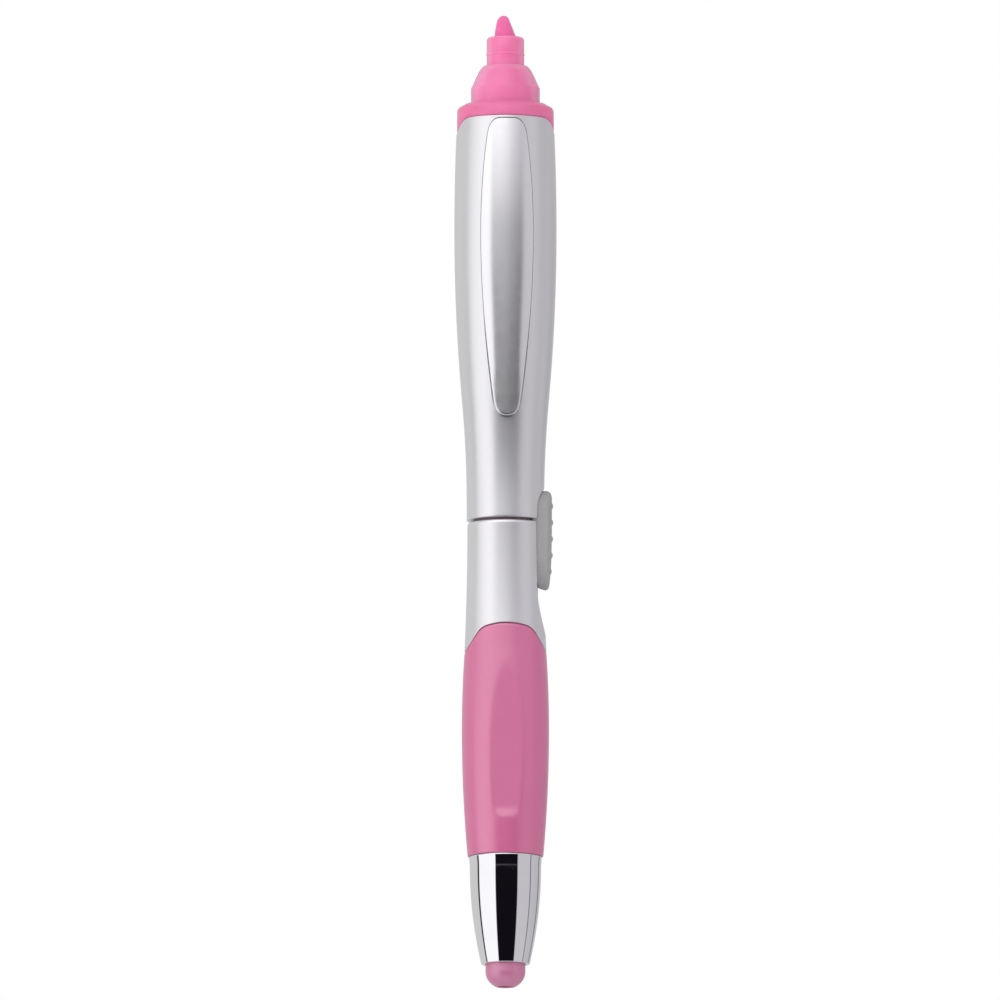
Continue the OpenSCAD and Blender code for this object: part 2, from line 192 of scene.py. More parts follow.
# ------------ meshes

RADIAL, ALONG_X, ALONG_Y = 0, 1, 2
# Points closer than this are welded, and edges that turn by more than this many degrees stay sharp
WELD, SHARP_ANGLE = 0.0015, 32.0


class Chain:
    """A line on a shell. Its points keep their turn, or their x or y, at every radius."""

    def __init__(self, kinds, values, heights):
        given = kinds, np.array(values, float), np.array(heights, float)
        self.kinds, self.values, self.heights = np.broadcast_arrays(*given)

    def at(self, radius=1.0):
        """(turn, height) of each point at a radius, which may be a function of height.

        Points that keep their turn are the same at any radius.
        """
        r = radius(self.heights) if callable(radius) else radius
        across = np.clip(self.values / r, -1, 1)
        turned = np.where(self.kinds == ALONG_X, np.arccos(-across), np.arcsin(across))
        turns = np.where(self.kinds == RADIAL, self.values, turned)
        return pairs(turns, self.heights)

    def part(self, start, stop):
        return Chain(self.kinds[start:stop], self.values[start:stop], self.heights[start:stop])


def place(points, radius):
    """3-D points of (turn, height) points at a radius."""
    turn, z = points[:, 0], points[:, 1]
    r = np.broadcast_to(radius, turn.shape)
    return np.stack([r * np.sin(turn), -r * np.cos(turn), z], 1)


def show(name, data):
    """A new object in the scene."""
    thing = bpy.data.objects.new(name, data)
    bpy.context.scene.collection.objects.link(thing)
    return thing


class Soup:
    """Faces collected from separate patches, which are welded into one closed mesh at the end."""

    def __init__(self):
        self.points = []
        self.faces = []

    def add(self, points):
        start = len(self.points)
        self.points.extend(tuple(p) for p in points)
        return list(range(start, start + len(points)))

    def strip(self, one, other, closed=False):
        count = len(one)
        for i in range(count if closed else count - 1):
            j = (i + 1) % count
            self.faces.append((one[i], one[j], other[j], other[i]))

    def rings(self, loops, closed=False):
        """Strips between 3-D lines with the same number of points."""
        rows = [self.add(line) for line in loops]
        for one, other in zip(rows, rows[1:]):
            self.strip(one, other, closed)
        return rows

    def polygon(self, points):
        self.faces.append(tuple(self.add(points)))

    def fill(self, loops, radius, step):
        """Fills a region bounded by (turn, height) loops, on the surface that radius(turn, height) gives."""
        points, faces = triangulate(loops, step)
        r = radius(points[:, 0], points[:, 1]) if callable(radius) else radius
        index = self.add(place(points, r))
        self.faces.extend(tuple(index[i] for i in face) for face in faces)

    def make(self, name):
        mesh = bpy.data.meshes.new(name)
        mesh.from_pydata([[c * MM for c in p] for p in self.points], [], self.faces)
        bm = bmesh.new()
        bm.from_mesh(mesh)
        bmesh.ops.remove_doubles(bm, verts=bm.verts, dist=WELD * MM)
        loose = [v for v in bm.verts if not v.link_faces]
        bmesh.ops.delete(bm, geom=loose, context="VERTS")
        bmesh.ops.recalc_face_normals(bm, faces=bm.faces)
        bm.to_mesh(mesh)
        bm.free()
        mesh.shade_smooth()
        mesh.set_sharp_from_angle(angle=math.radians(SHARP_ANGLE))
        return show(name, mesh)


# About the pen's radius, which makes millimetres of turns while a region is filled
SHEET_SCALE = 6.5


def inside(points, loops):
    """Which points lie inside the first loop and outside the others."""
    result = np.zeros(len(points), bool)
    for loop in loops:
        start, end = loop, np.roll(loop, -1, 0)
        for (x0, y0), (x1, y1) in zip(start, end):
            if y0 == y1:
                continue
            crosses = (points[:, 1] < y0) != (points[:, 1] < y1)
            at = x0 + (points[:, 1] - y0) * (x1 - x0) / (y1 - y0)
            result ^= crosses & (points[:, 0] < at)
    return result


def triangulate(loops, step):
    """Points and triangles that fill a region of the (turn, height) plane, with points step apart inside."""
    scale = np.array([SHEET_SCALE, 1.0])
    flat = [np.asarray(loop) * scale for loop in loops]
    border = np.concatenate(flat)
    edges, start = [], 0
    for loop in flat:
        count = len(loop)
        edges += [(start + i, start + (i + 1) % count) for i in range(count)]
        start += count
    lowest, highest = border.min(0), border.max(0)
    counts = np.maximum(2, np.ceil((highest - lowest) / step)).astype(int)
    columns = np.linspace(lowest[0], highest[0], counts[0] + 1)[1:-1]
    rows = np.linspace(lowest[1], highest[1], counts[1] + 1)[1:-1]
    grid = np.stack(np.meshgrid(columns, rows, indexing="ij"), -1).reshape(-1, 2)
    grid = grid[inside(grid, flat)]
    clear = np.ones(len(grid), bool)
    for chunk in np.array_split(border, max(1, len(border) // 64)):
        away = ((grid[:, None] - chunk[None]) / step) ** 2
        clear &= (away.sum(2) > 0.3).all(1)
    given = np.concatenate([border, grid[clear]])
    made = delaunay_2d_cdt([Vector(p) for p in given], edges, [], 0, 1e-6, True)
    crossed = [tuple(round(c, 3) for c in v) for v, ids in zip(made[0], made[3]) if not ids]
    if crossed:
        raise RuntimeError(f"outlines cross near {crossed[:8]}")
    source = [ids[0] for ids in made[3]]
    faces = np.array([[source[i] for i in face] for face in made[2]])
    centres = given[faces].mean(1)
    faces = faces[inside(centres, flat)]
    return given / scale, faces.tolist()


def slide(line, distance, radius, closed):
    """Moves a (turn, height) line sideways over the surface, to its left."""
    r = radius(line[:, 0], line[:, 1])
    if closed:
        along = np.roll(line, -1, 0) - np.roll(line, 1, 0)
    else:
        along = np.gradient(line, axis=0)
    along = along * pairs(r, 1.0)
    along /= np.linalg.norm(along, axis=1)[:, None]
    moved = line.copy()
    moved[:, 0] -= along[:, 1] * distance / r
    moved[:, 1] += along[:, 0] * distance
    if not closed:
        # Both ends lie on the same line of the shell, where they have to meet
        moved[[0, -1], 0] = line[[0, -1], 0]
    return moved


ROUND_STEPS = (90.0, 67.5, 45.0, 22.5, 0.0)


def rounded(soup, line, surface, edge, closed=False, room=None):
    """A rounded edge along a line. Returns its lowest 3-D line and the (turn, height) line where it ends."""
    loops = []
    for angle in ROUND_STEPS:
        a = math.radians(angle)
        moved = slide(line, edge * (1 - math.sin(a)), surface, closed)
        drop = edge * (1 - math.cos(a))
        if room is not None:
            drop = drop * np.clip(room / edge, 0, 1)
        loops.append(place(moved, surface(moved[:, 0], moved[:, 1]) - drop))
    ended = slide(line, edge * 1.5, surface, closed)
    loops.append(place(ended, surface(ended[:, 0], ended[:, 1])))
    soup.rings(loops, closed)
    return loops[0], ended


def cut_line(bottom, top, turn):
    """Points up or down the back of a shell, without its ends."""
    step = 0.9
    count = max(2, round(abs(top - bottom) / step))
    z = np.linspace(bottom, top, count + 1)[1:-1]
    return pairs(turn, z)


def band(lower_line, upper_line):
    """The outline of a region between a lower line, drawn forwards, and an upper line, drawn backwards."""
    right = cut_line(lower_line[-1, 1], upper_line[0, 1], lower_line[-1, 0])
    left = cut_line(upper_line[-1, 1], lower_line[0, 1], lower_line[0, 0])
    return np.concatenate([lower_line, right, upper_line, left])


def lathe(name, profile, segments):
    """A turned piece. The profile is (radius, height) points, or a function that gives them for each turn."""
    turns = np.linspace(0, 2 * PI, segments, endpoint=False)
    table = np.stack([np.asarray(profile(t) if callable(profile) else profile, float) for t in turns])
    lines = [place(pairs(turns, z), r) for r, z in table.transpose(1, 2, 0)]
    soup = Soup()
    soup.rings([*lines, lines[0]], closed=True)
    return soup.make(name)


def soften(points, radii, steps):
    """A closed profile whose corners are rounded, each by its own radius."""
    pts = [np.array(p, float) for p in points]
    out = []
    for i, p in enumerate(pts):
        if radii[i] <= 0:
            out.append(p)
            continue
        before, after = pts[i - 1] - p, pts[(i + 1) % len(pts)] - p
        before_len, after_len = np.linalg.norm(before), np.linalg.norm(after)
        before, after = before / before_len, after / after_len
        half = math.acos(max(-1.0, min(1.0, float(before @ after)))) / 2
        reach = min(radii[i] / math.tan(half), 0.48 * before_len, 0.48 * after_len)
        start, end = p + before * reach, p + after * reach
        radius = reach * math.tan(half)
        middle = p + (before + after) / np.linalg.norm(before + after) * (radius / math.sin(half))
        a0 = math.atan2(*(start - middle)[::-1])
        a1 = math.atan2(*(end - middle)[::-1])
        turn = (a1 - a0 + PI) % (2 * PI) - PI
        for k in range(steps + 1):
            a = a0 + turn * k / steps
            out.append(middle + radius * np.array([math.cos(a), math.sin(a)]))
    return np.array(out)


# ------------ lines on the shells

# Turns all round the pen, a degree apart
ALL_ROUND = 361


def rim(start, stop, z, count):
    return Chain(RADIAL, np.linspace(start, stop, count), z)


def join(*chains):
    parts = [(c.kinds, c.values, c.heights) for c in chains]
    return Chain(*(np.concatenate(group) for group in zip(*parts)))


def line_chain(kind, points):
    return Chain(kind, *np.transpose(points))


def clip_line(gap, crown_gap):
    """The clip's outline seen from the front, anticlockwise from the lower tip, as (x, z) points."""
    tip = np.array([0, CLIP_LOW - gap])
    toe = np.array([0.52 * CLIP_HALF + gap, CLIP_LOW + 2.3])
    wide = np.array([CLIP_HALF + gap, BELLY_Z - 1.1])
    neck = np.array([0.75 * CLIP_HALF + gap, CLIP_TOP - 2.5])
    crown = np.array([1.0, CLIP_TOP + crown_gap])
    side = np.concatenate([
        cubic(tip, tip + (1.35, 0), toe - (0.27, 1.4), toe, 16),
        cubic(toe, toe + (0.9, 6), wide - (0, 9.5), wide, 44)[1:],
        cubic(wide, wide + (0, 6.5), neck + (0.4, -2.7), neck, 26)[1:],
        cubic(neck, neck + (-0.2, 1.7), crown + (1.1, 0), crown, 14)[1:],
        pairs(np.linspace(1, 0, 5), CLIP_TOP + crown_gap)[1:],
    ])
    mirrored = side[-2:0:-1] * (-1, 1)
    return np.concatenate([side, mirrored])


def dip(turn, r, half=DIP_HALF):
    """How far the barrel's top edge drops near each side of the pen."""
    y = np.clip(r * np.cos(turn) / half, -1, 1)
    return DIP_DEPTH * (0.5 + 0.5 * np.cos(PI * y)) ** 1.45


CORNER = 0.3


def corner_arc(y, z, start, stop):
    a = np.radians(np.linspace(start, stop, 6))
    return pairs(y + CORNER * np.cos(a), z + CORNER * np.sin(a))


def arch_height(x):
    """The grip's top edge seen from the front: a crowned tongue with round corners."""
    corner = np.array([4.45, TONGUE_Z - 1.36])
    start = np.array([3.0, TONGUE_Z - 0.33])
    flat = np.linspace(0, 3, 16)
    curve = cubic(start, start + (0.6, -0.15), corner + (-0.35, 0.5), corner, 12)[1:]
    xs = np.concatenate([flat, curve[:, 0], [6.12, 8.0]])
    zs = np.concatenate([TONGUE_Z - flat**2 / 27, curve[:, 1], [TONGUE_Z - 3.8, TONGUE_Z - 6.6]])
    return np.interp(x, xs, zs)


def arch_chain(drop):
    """The tongue's edge round the pen."""
    turns = np.linspace(-PI, PI, ALL_ROUND)
    z = np.full(ALL_ROUND, TONGUE_Z - 2.0)
    for _ in range(12):
        z = arch_height(np.abs(lower_r(z) * np.sin(turns))) - drop
    kernel = np.array([1, 2, 3, 2, 1]) / 9
    wrapped = np.concatenate([z[-3:-1], z, z[1:3]])
    z = np.convolve(wrapped, kernel, "valid")
    return Chain(RADIAL, turns, z)


# ------------ barrels, grip and clip


def upper_surface(turn, z):
    return upper_r(z)


def bore_r(z):
    return np.interp(z, [BORE_NARROW_Z, BORE_WIDE_Z], [WAIST_BORE, UPPER_BORE])


def make_upper_barrel():
    """Painted shell with a recess for the clip, dips in its top edge and a round notch for the slider."""
    round_z = BED_HIGH - CHANNEL_HALF
    z = UPPER_BOTTOM
    half = CHANNEL_HALF
    outer = half + CORNER
    arc = np.radians(np.linspace(180, 0, 40))
    side = np.linspace(z + CORNER, round_z, 4)[1:-1]
    notch = line_chain(ALONG_X, np.concatenate([
        corner_arc(-outer, z + CORNER, -90, 0),
        pairs(-half, side),
        pairs(half * np.cos(arc), round_z + half * np.sin(arc)),
        pairs(half, side[::-1]),
        corner_arc(outer, z + CORNER, 180, 270),
    ]))

    def rims(radius):
        """The straight parts of the lower edge, left and right of the notch, at that radius."""
        cut = math.acos(outer / radius)
        return rim(-PI, cut, z, 150).part(0, -1), rim(PI - cut, PI, z, 60).part(1, None)

    soup = Soup()
    left, right = rims(WAIST_R)
    lower_edge = join(left, notch, right)
    start, ended = rounded(soup, lower_edge.at(upper_r), upper_surface, GROOVE_EDGE)

    turns = np.linspace(PI, -PI, ALL_ROUND)
    crest = float(upper_r(BARREL_TOP))
    top_edge = Chain(RADIAL, turns, BARREL_TOP - dip(turns, crest))
    top_start, top_ended = rounded(soup, top_edge.at(upper_r), upper_surface, TOP_EDGE)

    outline = clip_line(POCKET_GAP - SEAM_SPREAD, POCKET_GAP - CROWN_SPREAD)
    pocket = line_chain(ALONG_Y, outline[::-1])
    floor_r = BELLY_R - CLIP_THICK - POCKET_GAP - POCKET_FLOOR_DROP
    pocket_line = pocket.at(upper_r)
    room = np.clip(upper_r(pocket.heights) - floor_r, 0, None)
    wall, pocket_ended = rounded(soup, pocket_line, upper_surface, POCKET_EDGE, True, room)

    soup.fill([band(ended, top_ended), pocket_ended], upper_surface, (0.6, 0.9))

    def floor_surface(turn, z):
        return np.minimum(upper_r(z), floor_r)

    floor_line = pocket.at(lambda h: np.minimum(upper_r(h), floor_r))
    soup.rings([wall, place(floor_line, floor_surface(None, pocket.heights))], closed=True)
    soup.fill([floor_line], floor_surface, (0.7, 1.0))

    inner_left, inner_right = rims(WAIST_BORE)
    inner_notch = notch.at(bore_r)
    first = len(left.values)
    last = first + len(notch.values)
    soup.rings([start[first:last], place(inner_notch, bore_r(notch.heights))])
    inner_lower = np.concatenate([inner_left.at(), inner_notch, inner_right.at()])
    for outer_part, inner_part in (
        (start[: first + 1], np.concatenate([inner_left.at(), inner_notch[:1]])),
        (start[last - 1 :], np.concatenate([inner_notch[-1:], inner_right.at()])),
    ):
        soup.polygon(np.concatenate([outer_part, place(inner_part, WAIST_BORE)[::-1]]))
    inner_top = top_edge.at()
    soup.rings([top_start, place(inner_top, UPPER_BORE)])
    soup.fill([band(inner_lower, inner_top)], lambda turn, z: bore_r(z), (0.9, 2.0))
    return soup.make("upper_barrel_shell")


def clip_section(z):
    """Where the centre of the clip's face lies in front of the axis, and the radius of that face."""
    top = np.where(z > BELLY_Z, upper_r(z), BELLY_R - (BELLY_Z - z) ** 2 / (2 * CLIP_RHO))
    share = smooth(CLIP_CROWN_LOW, CLIP_CROWN_HIGH, z)
    crown = CLIP_CROWN + (top - CLIP_CROWN) * share
    return top - crown, crown


def clip_surface(turn, z):
    """The clip lies flush on the shoulder, and bows in and grows rounder towards its free end."""
    centre, crown = clip_section(z)
    return centre * np.cos(turn) + np.sqrt(crown**2 - (centre * np.sin(turn)) ** 2)


def make_clip():
    soup = Soup()
    points = clip_line(SEAM_SPREAD, CROWN_SPREAD)
    centre, crown = clip_section(points[:, 1])
    turns = np.arctan2(points[:, 0], centre + np.sqrt(crown**2 - points[:, 0] ** 2))
    edge_line = pairs(turns, points[:, 1])
    edges = CLIP_EDGE + (CLIP_TIP_EDGE - CLIP_EDGE) * smooth(104, 92, points[:, 1])
    start, ended = rounded(soup, edge_line, clip_surface, edges, True)
    soup.fill([ended], clip_surface, (0.35, 0.8))
    under_r = BELLY_R - CLIP_THICK
    under = line_chain(ALONG_Y, points).at(under_r)
    soup.rings([start, place(under, under_r)], closed=True)
    soup.fill([under], under_r, (0.6, 1.2))
    return soup.make("pocket_clip")


def barrel_surface(turn, z):
    return lower_r(z)


def make_lower_barrel():
    """Painted shell with the grip's arch below, and the slider's bed on one side."""
    z = LOWER_TOP
    half = CHANNEL_HALF
    outer = half + CORNER
    soup = Soup()

    arch = arch_chain(0)
    arch_start, arch_ended = rounded(soup, arch.at(), barrel_surface, ARCH_EDGE)

    point_z = BED_LOW + BED_POINT
    arc = np.radians(np.linspace(360, 180, 56))
    side = np.linspace(point_z, z - CORNER, 12)[1:-1]
    bed = line_chain(ALONG_X, np.concatenate([
        corner_arc(outer, z - CORNER, 90, 180),
        pairs(half, side[::-1]),
        pairs(half * np.cos(arc), point_z + BED_POINT * np.sin(arc)),
        pairs(-half, side),
        corner_arc(-outer, z - CORNER, 0, 90),
    ]))
    cut = math.acos(outer / LOWER_TOP_R)
    right = rim(PI, PI - cut, z, 60).part(0, -1)
    left = rim(cut, -PI, z, 150).part(1, None)
    top_edge = join(right, bed, left)
    along = top_edge.at(lower_r)
    away = np.abs(((along[:, 0] - PI / 2 + PI) % (2 * PI)) - PI)
    edges = GROOVE_EDGE + 0.2 * smooth(0.7, 0.95, away)
    start, ended = rounded(soup, along, barrel_surface, edges)
    soup.fill([band(arch_ended, ended)], barrel_surface, (0.55, 0.8))

    # Wall and floor of the bed, with the slot for the slider's foot
    first = len(right.values)
    last = first + len(bed.values)
    floor_line = bed.at(CHANNEL_FLOOR_R)
    soup.rings([start[first:last], place(floor_line, CHANNEL_FLOOR_R)])
    slot_side = np.linspace(z, SLOT_LOW, 8)
    slot = line_chain(ALONG_X, np.concatenate([
        pairs(-SLOT_HALF, slot_side),
        pairs(np.linspace(-SLOT_HALF, SLOT_HALF, 5)[1:-1], SLOT_LOW),
        pairs(SLOT_HALF, slot_side[::-1]),
    ]))
    slot_line = slot.at(CHANNEL_FLOOR_R)

    def shelf(y0, y1):
        y = np.linspace(y0, y1, 8)[1:-1]
        return line_chain(ALONG_X, pairs(y, z)).at(CHANNEL_FLOOR_R)

    near, far = shelf(-outer, -SLOT_HALF), shelf(SLOT_HALF, outer)
    soup.fill([np.concatenate([floor_line, near, slot_line, far])], CHANNEL_FLOOR_R, (0.5, 0.8))
    soup.rings([place(slot_line, CHANNEL_FLOOR_R), place(slot.at(LOWER_BORE), LOWER_BORE)])

    # Top rim, from the edge to the bore, open at the slot
    bore_slot = slot.at(LOWER_BORE)
    bore_right = rim(bore_slot[-1, 0], PI, z, 50).part(1, None).at()
    bore_left = rim(-PI, bore_slot[0, 0], z, 130).part(0, -1).at()
    soup.polygon(np.concatenate([
        start[: first + 1],
        place(np.concatenate([floor_line[:1], far[::-1], slot_line[-1:]]), CHANNEL_FLOOR_R),
        place(np.concatenate([bore_slot[-1:], bore_right]), LOWER_BORE),
    ]))
    soup.polygon(np.concatenate([
        place(np.concatenate([near[::-1], floor_line[-1:]]), CHANNEL_FLOOR_R),
        start[last - 1 :],
        place(np.concatenate([bore_left, bore_slot[:1]]), LOWER_BORE),
        place(slot_line[:1], CHANNEL_FLOOR_R),
    ]))

    # Bore above, core and spigot below, all hidden
    turns = arch.values
    bore_low = 52.0
    narrow_z = 50.0
    spigot_r, spigot_bore = 4.3, 3.3

    def ring_at(r, height):
        return place(pairs(turns, height), r)

    rim_low = rim(-PI, PI, bore_low, len(turns))
    lower_inner = np.concatenate([bore_left, bore_slot, bore_right])
    soup.fill([band(rim_low.at(), lower_inner[::-1])], LOWER_BORE, (0.9, 2.0))
    soup.rings([
        arch_start,
        place(arch.at(), CORE_R),
        ring_at(CORE_R, NOSE_TOP + 0.05),
        ring_at(spigot_r, NOSE_TOP + 0.05),
        ring_at(spigot_r, SPIGOT_LOW),
        ring_at(spigot_bore, SPIGOT_LOW),
        ring_at(spigot_bore, narrow_z),
        place(rim_low.at(), LOWER_BORE),
    ])
    return soup.make("lower_barrel_shell")


def grip_surface(turn, z):
    """The grip with three finger flats, each ending in a small ledge below and fading out above."""
    r = lower_r(z)
    out = np.clip(FLAT_LOW - z, 0, None) * LEDGE_SLOPE + (z - FLAT_LOW) * FLAT_LEAN
    for k in (-1, 0, 1):
        away = (turn - k * 2 * PI / 3 + PI) % (2 * PI) - PI
        flat = (FLAT_R + out) / np.clip(np.cos(away), 0.35, 1)
        blend = 0.035
        r = -blend * np.logaddexp(-r / blend, -flat / blend)
    return r


def make_grip():
    soup = Soup()
    bottom = rim(-PI, PI, GRIP_LOW, ALL_ROUND)
    bottom_edge, top_edge = 0.18, 0.28
    start, ended = rounded(soup, bottom.at(), grip_surface, bottom_edge)
    arch = arch_chain(0.06)
    back = Chain(arch.kinds, arch.values[::-1], arch.heights[::-1])
    top_start, top_ended = rounded(soup, back.at(), grip_surface, top_edge)
    soup.fill([band(ended, top_ended)], grip_surface, (0.28, 0.5))
    inner_r = CORE_R + 0.05
    soup.rings([start, place(bottom.at(), inner_r)])
    soup.rings([top_start, place(back.at(), inner_r)])
    soup.fill([band(bottom.at(), back.at())], inner_r, (0.9, 1.6))
    return soup.make("grip_sleeve")


# ------------ slider


def slider_surface(turn, z):
    """The thumb piece's back, with cross ribs that stop short of its sides."""
    rise = z - SLIDER_LOW
    heights = [0, 0.3, 0.8, 1.8, 3.2, 5, 9, 14.05, 14.55, 15.05]
    drops = [0.72, 0.5, 0.37, 0.26, 0.15, 0.06, 0, 0, 0.12, 0.5]
    base = SLIDER_TOP_R - np.interp(rise, heights, drops)
    y = -base * np.cos(turn)
    point_z = SLIDER_LOW + SLIDER_POINT
    round_z = SLIDER_HIGH - SLIDER_HALF
    upper = np.sqrt(np.clip(SLIDER_HALF**2 - np.clip(z - round_z, 0, None) ** 2, 0, None))
    lower = SLIDER_HALF * np.sqrt(np.clip(1 - (np.clip(point_z - z, 0, None) / SLIDER_POINT) ** 2, 0, None))
    margin, rib_half = 0.45, 0.42
    first_tall, other_tall = 0.15, 0.19
    half = np.minimum(upper, lower) - margin
    fade = smooth(0, margin, half - np.abs(y))
    ribbed = base
    for i in range(RIBS):
        centre = RIB_LOW + i * RIB_PITCH
        tall = first_tall if i == 0 else other_tall
        bump = np.clip(1 - ((z - centre) / rib_half) ** 2, 0, None)
        ribbed = ribbed + tall * bump**0.8 * fade
    return ribbed


def make_slider():
    soup = Soup()
    half = SLIDER_HALF
    round_z, point_z = SLIDER_HIGH - half, SLIDER_LOW + SLIDER_POINT
    top = np.radians(np.linspace(0, 180, 44))
    tip = np.radians(np.linspace(180, 360, 44))
    side = np.linspace(point_z, round_z, 16)[1:-1]
    outline = line_chain(ALONG_X, np.concatenate([
        pairs(half * np.cos(top), round_z + half * np.sin(top)),
        pairs(-half, side[::-1]),
        pairs(half * np.cos(tip), point_z + SLIDER_POINT * np.sin(tip))[:-1],
        pairs(half, side),
    ]))

    def back_r(z):
        turns = np.full_like(z, PI / 2)
        base = slider_surface(turns, z)
        return np.minimum(base, SLIDER_TOP_R)

    start, ended = rounded(soup, outline.at(back_r), slider_surface, SLIDER_EDGE, True)
    soup.fill([ended], slider_surface, (0.2, 0.11))
    # The end of the underside rises, so that the tip stands clear of the barrel
    under = outline.at(SLIDER_UNDER_R)
    under[:, 1] += 0.3 * smooth(SLIDER_LOW + 2.0, SLIDER_LOW, under[:, 1])
    soup.rings([start, place(under, SLIDER_UNDER_R)], closed=True)
    soup.fill([under], SLIDER_UNDER_R, (0.5, 0.8))
    # Foot that reaches the carrier
    foot_in, foot_out = 2.4, SLIDER_UNDER_R + 0.2
    foot_half, foot_low, foot_high = 1.1, 67.9, 72.7
    corners = [(-foot_half, foot_low), (foot_half, foot_low), (foot_half, foot_high), (-foot_half, foot_high)]
    near = [(foot_in, y, z) for y, z in soften(corners, [0.25] * 4, 3)]
    far = [(foot_out, y, z) for _, y, z in near]
    soup.rings([near, far], closed=True)
    soup.polygon(near)
    soup.polygon(far)
    return soup.make("slider_thumb_piece")


# ------------ turned pieces


def make_nose():
    """Chrome shell: a slight flare under the grip, a curved flank and a rolled lower edge."""
    lip_z = NOSE_TOP - 1.4
    nose_r, flank_rho = 5.36, 63.0
    mouth_r, inner_r, socket_r = 3.06, 3.5, 4.35
    inner_low, inner_high, socket_low = 4.9, 8.05, 12.0
    edge = 0.14

    def flank(z):
        return nose_r - (lip_z - z) ** 2 / (2 * flank_rho)

    rise = NOSE_LOW + 1.2
    corner = soften([
        (mouth_r, NOSE_LOW + 1.3), (mouth_r, NOSE_LOW), (flank(NOSE_LOW), NOSE_LOW), (flank(rise), rise),
    ], [0, 0.1, edge, 0], 6)[:-1]
    heights = np.linspace(NOSE_LOW + edge * 1.6, lip_z - 0.25, 60)
    flare = cubic(
        (flank(lip_z - 0.2), lip_z - 0.2), (nose_r + 0.01, lip_z + 0.3),
        (nose_r + 0.05, NOSE_TOP - 0.5), (nose_r + 0.12, NOSE_TOP - 0.08), 9,
    )
    profile = np.concatenate([
        corner,
        pairs(flank(heights), heights),
        flare,
        [(nose_r + 0.1, NOSE_TOP), (socket_r, NOSE_TOP), (socket_r, socket_low)],
        [(inner_r, inner_high), (inner_r, inner_low)],
    ])
    return lathe("nose_shell", profile, 220)


def make_stylus():
    """Rubber dome with a rolled mouth that the ballpoint comes out of."""
    r, dome_z, dome_h = 3.0, 2.3, 2.6
    mouth, lip = 1.25, 0.16
    socket_r, socket_low = 2.25, 1.6
    flange_r, flange_low = 3.45, 4.95
    lowest = math.asin(dome_z / dome_h)
    dome = [(r * math.cos(a), dome_z + dome_h * math.sin(a)) for a in np.linspace(-lowest, 0, 36)]
    roll = np.linspace(PI / 2, 0, 7)
    mouth_edge = [(mouth + lip - lip * math.sin(a), lip - lip * math.cos(a)) for a in roll]
    mouth_edge = [p for p in mouth_edge if p[0] < dome[0][0] - 0.02]
    profile = [(socket_r, STYLUS_TOP), (socket_r, socket_low), (mouth, socket_low), *mouth_edge, *dome]
    profile += [(r, flange_low), (flange_r, flange_low), (flange_r, STYLUS_TOP)]
    return lathe("stylus_dome", profile, 144)


def collar_profile(turn):
    """Ring that caps the barrel, with a tab in each dip of its top edge."""
    r = COLLAR_R
    base = BARREL_TOP + 0.05
    tab = float(dip(np.array(turn), r, DIP_HALF - 0.12))
    bottom = base - max(0.0, tab - 0.02)
    inner = UPPER_BORE + 0.05
    edge = 0.1
    return [
        (UPPER_BORE, base), (inner, base), (inner, bottom), (r - edge, bottom),
        (r - 0.03, bottom + 0.03), (r, bottom + edge), (r, base + 0.3), (r, base + 1.25),
        (r - 0.03, base + 1.42), (r - 0.1, base + 1.62), (r - 0.25, base + 1.82), (r - 0.5, base + 1.98),
        (r - 0.75, base + 2.08), (6.42, base + 2.14), (6.33, base + 2.2), (6.22, COLLAR_TOP - 0.1),
        (6.16, COLLAR_TOP - 0.02), (6.08, COLLAR_TOP), (UPPER_BORE, COLLAR_TOP),
    ]


def make_nib_section():
    """Neck, cone and sleeve moulded in one, hollow inside, with a bead round the sleeve."""
    cone_top = SLEEVE_LOW - 0.8
    nib_hole = NIB_R + 0.04
    wick_r, wick_low, wick_high = 2.35, 129.8, 139.2
    chamber_r, chamber_low, chamber_high = 4.25, 130.6, 135.9
    cone_r, cone_high, skirt_bore = 3.1, 138.3, 4.45
    bead_z = 141.2
    half_turn = np.linspace(-PI / 2, PI / 2, 9)
    bead = pairs(SLEEVE_R + 0.07 * np.cos(half_turn) ** 2, bead_z + 0.17 * np.sin(half_turn))
    outside = soften([
        (HOLDER_R, COLLAR_TOP - 0.02), (NECK_R, COLLAR_TOP), (NECK_R, NECK_HIGH), (3.98, cone_top),
        (3.35, SLEEVE_LOW), (SLEEVE_R, SLEEVE_LOW + 0.02), (SLEEVE_R, bead_z - 0.6),
    ], [0, 0, 0.35, 0.7, 0.35, 0.12, 0], 7)
    crown = soften([
        (SLEEVE_R, bead_z + 0.7), (SLEEVE_R, SLEEVE_TOP),
        (nib_hole, SLEEVE_TOP), (nib_hole, SLEEVE_TOP - 1.2),
    ], [0, 0.55, 0.08, 0], 7)
    hollow = [
        (nib_hole, wick_low), (wick_r, wick_low), (wick_r, wick_high), (cone_r, cone_high),
        (chamber_r, chamber_high), (chamber_r, chamber_low),
        (skirt_bore, SKIRT_LOW), (HOLDER_R, SKIRT_LOW), (HOLDER_R, BARREL_TOP),
    ]
    return lathe("nib_holder", np.concatenate([outside, bead, crown, hollow]), 144)


